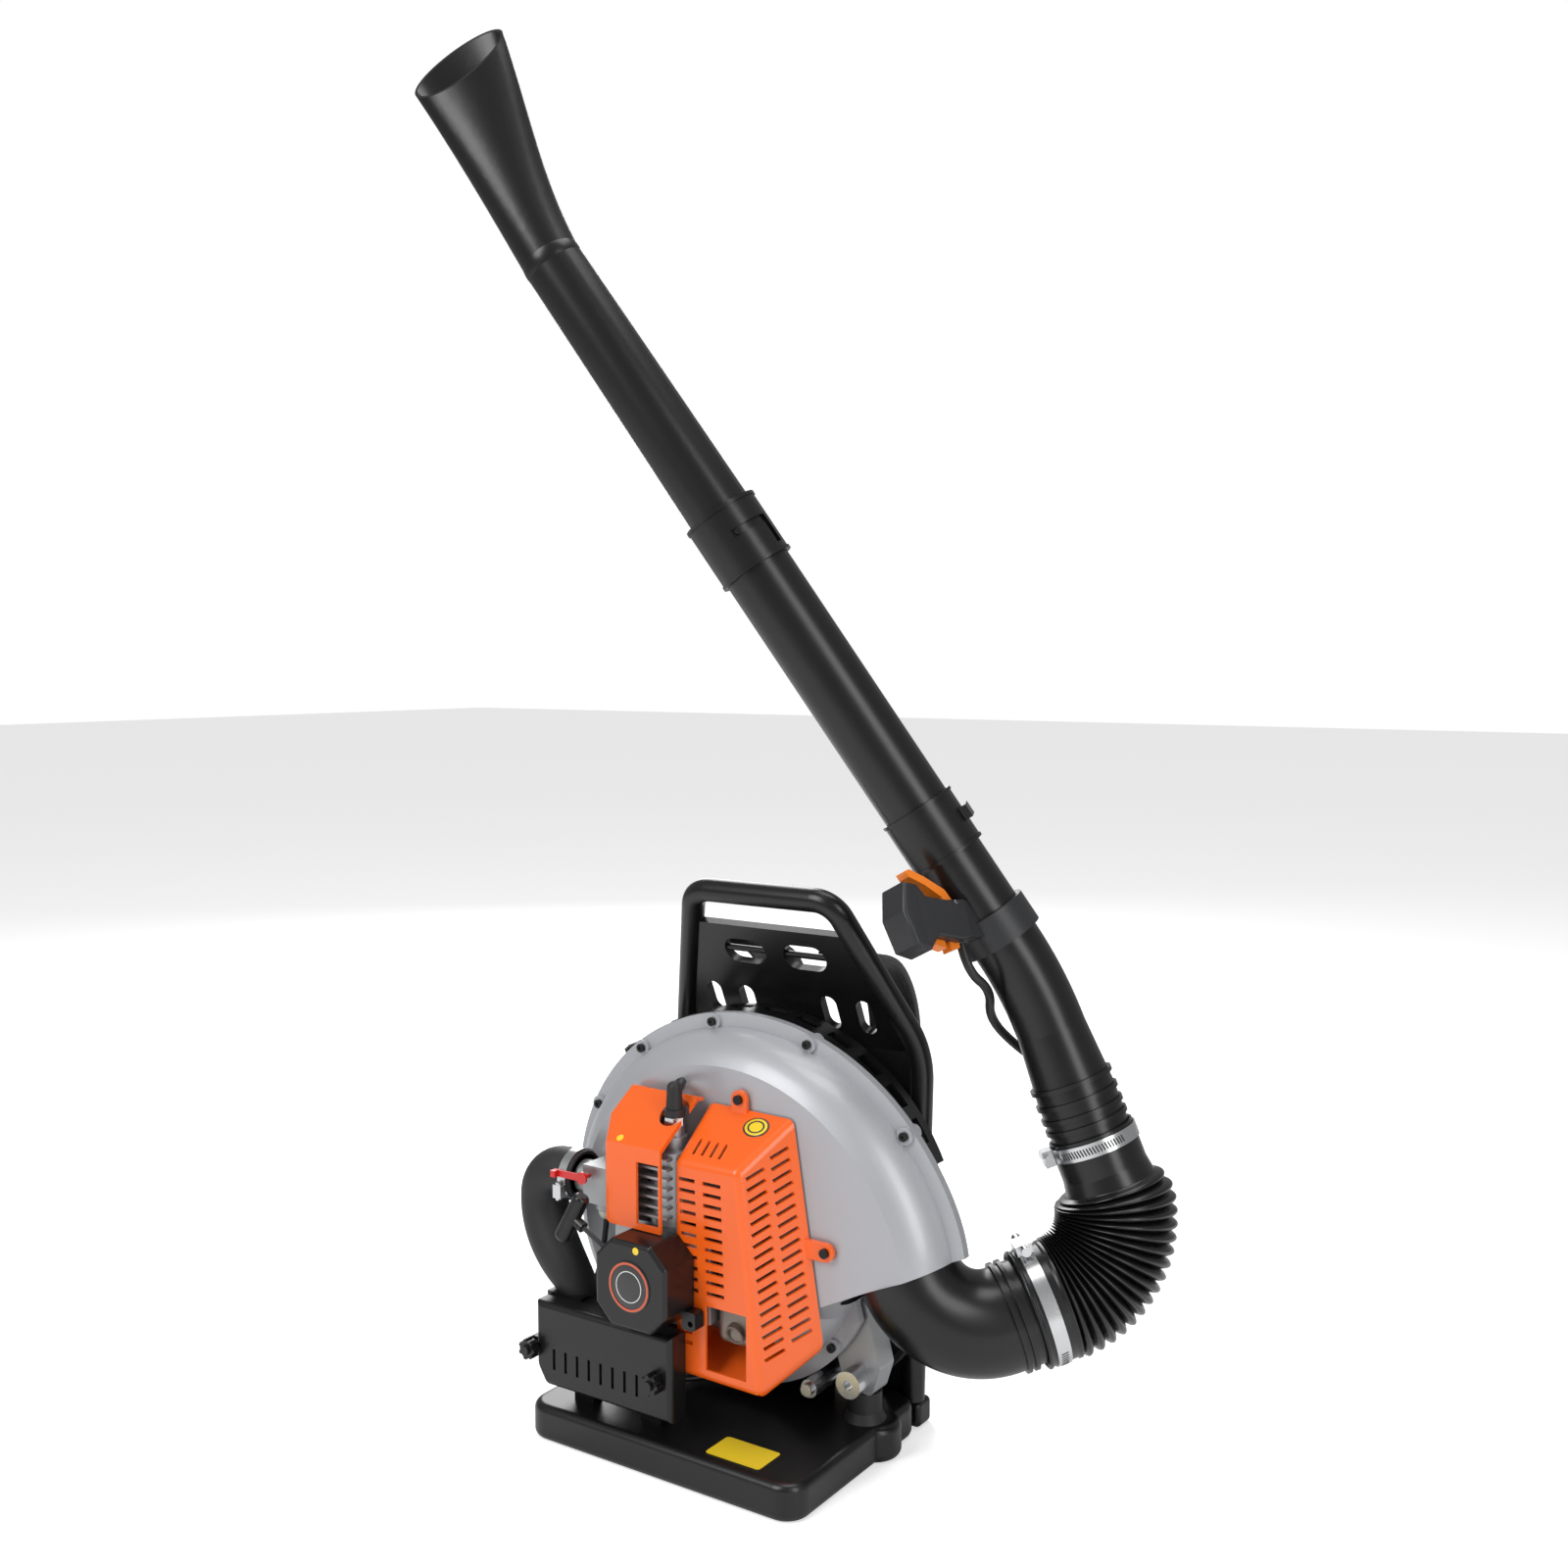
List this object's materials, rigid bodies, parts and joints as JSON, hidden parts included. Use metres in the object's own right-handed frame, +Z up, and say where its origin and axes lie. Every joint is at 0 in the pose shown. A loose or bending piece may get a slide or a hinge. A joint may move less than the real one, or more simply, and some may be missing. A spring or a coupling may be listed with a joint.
{
  "type": "backpack leaf blower",
  "caption": "Petrol backpack leaf blower: engine and fan volute on a base and back frame, bellows hose, handled wand with bayonet pipes and an oval nozzle.",
  "frame": {"origin": "centre of the base slab's underside, on the floor", "axes": "+X to the right seen from the engine side, +Y towards the wearer's back, +Z up"},
  "size_m": [0.6012, 0.3438, 1.2333],
  "materials": {
    "orange_shell": "gloss moulded orange plastic",
    "black_shell": "semi-gloss moulded black plastic",
    "grip_grey": "fine-grained dark grey plastic",
    "volute_silver": "satin silver-grey paint",
    "black_rubber": "matt moulded rubber",
    "bellows_rubber": "semi-matt ribbed hose",
    "cable_sleeve": "smooth cable sleeve",
    "cast_alloy": "sand-cast aluminium",
    "machined_steel": "machined steel",
    "zinc_steel": "zinc-plated steel",
    "black_steel": "black-oxide steel",
    "exhaust_steel": "heat-stained steel",
    "red_lever": "gloss red plastic",
    "amber_trigger": "gloss orange-yellow plastic",
    "clear_bulb": "translucent soft bulb",
    "tank_plastic": "translucent natural plastic",
    "pad_fabric": "woven black padding cover",
    "strap_webbing": "woven black webbing over foam",
    "filter_foam": "open-cell filter foam",
    "label_blank": "blank label",
    "copper_coil": "potted coil"
  },
  "bodies": {
    "machine": {"base": "black_shell", "back_frame": "black_shell", "back_pad": "pad_fabric", "shoulder_strap_left": "strap_webbing", "shoulder_strap_right": "strap_webbing", "volute_front": "volute_silver", "volute_rear": "volute_silver", "inlet_guard": "black_shell", "crankcase": "cast_alloy", "cylinder": "cast_alloy", "piston": "machined_steel", "spark_plug": "zinc_steel", "spark_plug_cap": "black_rubber", "ignition_lead": "black_rubber", "ignition_coil": "copper_coil", "muffler": "exhaust_steel", "muffler_cover": "orange_shell", "cylinder_cover": "orange_shell", "case_screws": "black_steel", "starter_housing": "black_shell", "blank_labels": "label_blank", "air_filter_cover": "black_shell", "air_filter_base": "black_shell", "air_filter_element": "filter_foam", "intake_duct": "black_rubber", "carburettor": "cast_alloy", "fuel_tank": "tank_plastic", "fuel_line": "black_rubber", "mount_brackets": "cast_alloy", "mount_sleeves": "zinc_steel", "mount_rubbers": "black_rubber", "mount_spring": "zinc_steel", "elbow_pipe": "black_shell", "lower_hose_clamp": "zinc_steel", "cable_lower": "cable_sleeve", "band_clamps": "zinc_steel"},
    "crank": {"crankshaft": "machined_steel", "fan": "grip_grey", "flywheel": "cast_alloy"},
    "pulley": {"starter_pulley": "grip_grey"},
    "recoil": {"starter_grip": "black_shell"},
    "knob_left": {"filter_knob_left": "black_shell"},
    "knob_right": {"filter_knob_right": "black_shell"},
    "choke": {"choke_lever": "red_lever"},
    "primer": {"primer_bulb": "clear_bulb"},
    "tank_cap": {"fuel_cap": "black_shell"},
    "hose": {"flex_hose": "bellows_rubber", "cable_middle": "cable_sleeve"},
    "wand": {"upper_hose_clamp": "zinc_steel", "swivel_tube": "black_shell", "handle_clamp": "grip_grey", "grip_shell_right": "grip_grey", "grip_shell_left": "grip_grey", "grip_fasteners": "zinc_steel", "cable_upper": "cable_sleeve"},
    "trigger": {"throttle_trigger": "amber_trigger"},
    "stop": {"stop_switch": "amber_trigger"},
    "lock": {"throttle_lock": "amber_trigger"},
    "lower_tube": {"lower_pipe": "black_shell"},
    "nozzle": {"nozzle_pipe": "black_shell"}
  },
  "joints": [
    {"name": "crank_spin", "type": "hinge", "parent": "machine", "child": "crank", "pos_m": [-0.015, 0, 0.168], "axis": [0, 1, 0], "continuous": true},
    {"name": "recoil_pull", "type": "slide", "parent": "machine", "child": "recoil", "axis": [-0.8947, 0.0357, 0.4452], "range_m": [0, 0.6], "stiffness_N_per_m": 12, "springref_m": -0.5},
    {"name": "pulley_spin", "type": "hinge", "parent": "machine", "child": "pulley", "pos_m": [-0.015, -0.107, 0.168], "axis": [0, 1, 0], "range_deg": [-1600, 0]},
    {"name": "knob_left_turn", "type": "hinge", "parent": "machine", "child": "knob_left", "pos_m": [-0.141, -0.1, 0.08], "axis": [0, -1, 0], "continuous": true},
    {"name": "knob_right_turn", "type": "hinge", "parent": "machine", "child": "knob_right", "pos_m": [-0.002, -0.1, 0.082], "axis": [0, -1, 0], "continuous": true},
    {"name": "choke_turn", "type": "hinge", "parent": "machine", "child": "choke", "pos_m": [-0.098, -0.072, 0.2365], "axis": [0, 1, 0], "range_deg": [0, 60]},
    {"name": "primer_press", "type": "slide", "parent": "machine", "child": "primer", "axis": [0, 0, 1], "range_m": [0, 0.002], "stiffness_N_per_m": 400},
    {"name": "fuel_cap_turn", "type": "hinge", "parent": "machine", "child": "tank_cap", "pos_m": [-0.148, 0.079, 0.297], "axis": [-0.3603, -0.0601, 0.9309], "continuous": true},
    {"name": "hose_swing", "type": "hinge", "parent": "machine", "child": "hose", "pos_m": [0.303, 0.11, 0.19], "axis": [0, 0, 1], "range_deg": [-15, 30], "deforming": ["flex_hose", "cable_middle"]},
    {"name": "hose_lift", "type": "hinge", "parent": "hose", "child": "wand", "pos_m": [0.303, 0.11, 0.19], "axis": [0.46, -0.8879, 0], "range_deg": [-20, 6], "deforming": ["flex_hose", "cable_middle"]},
    {"name": "throttle_squeeze", "type": "hinge", "parent": "wand", "child": "trigger", "pos_m": [0.19244, 0.04927, 0.48586], "axis": [0.867, -0.2025, 0.4554], "range_deg": [0, 8], "stiffness_Nm_per_rad": 0.4, "springref_deg": -8.59},
    {"name": "stop_switch_press", "type": "slide", "parent": "wand", "child": "stop", "axis": [-0.4001, 0.262, 0.8782], "range_m": [0, 0.002], "stiffness_N_per_m": 500, "springref_m": -0.001},
    {"name": "throttle_lock_press", "type": "slide", "parent": "wand", "child": "lock", "axis": [-0.4001, 0.262, 0.8782], "range_m": [0, 0.002], "stiffness_N_per_m": 500, "springref_m": -0.001},
    {"name": "lower_pipe_twist", "type": "hinge", "parent": "wand", "child": "lower_tube", "pos_m": [0.24432, 0.11506, 0.41634], "axis": [-0.4958, -0.2569, 0.8296], "range_deg": [0, 45]},
    {"name": "nozzle_twist", "type": "hinge", "parent": "lower_tube", "child": "nozzle", "pos_m": [0.24432, 0.11506, 0.41634], "axis": [-0.4958, -0.2569, 0.8296], "range_deg": [-45, 0]}
  ],
  "couplings": [
    {"joint": "pulley_spin", "follows": "recoil_pull", "rad_per_m": -45.045}
  ]
}
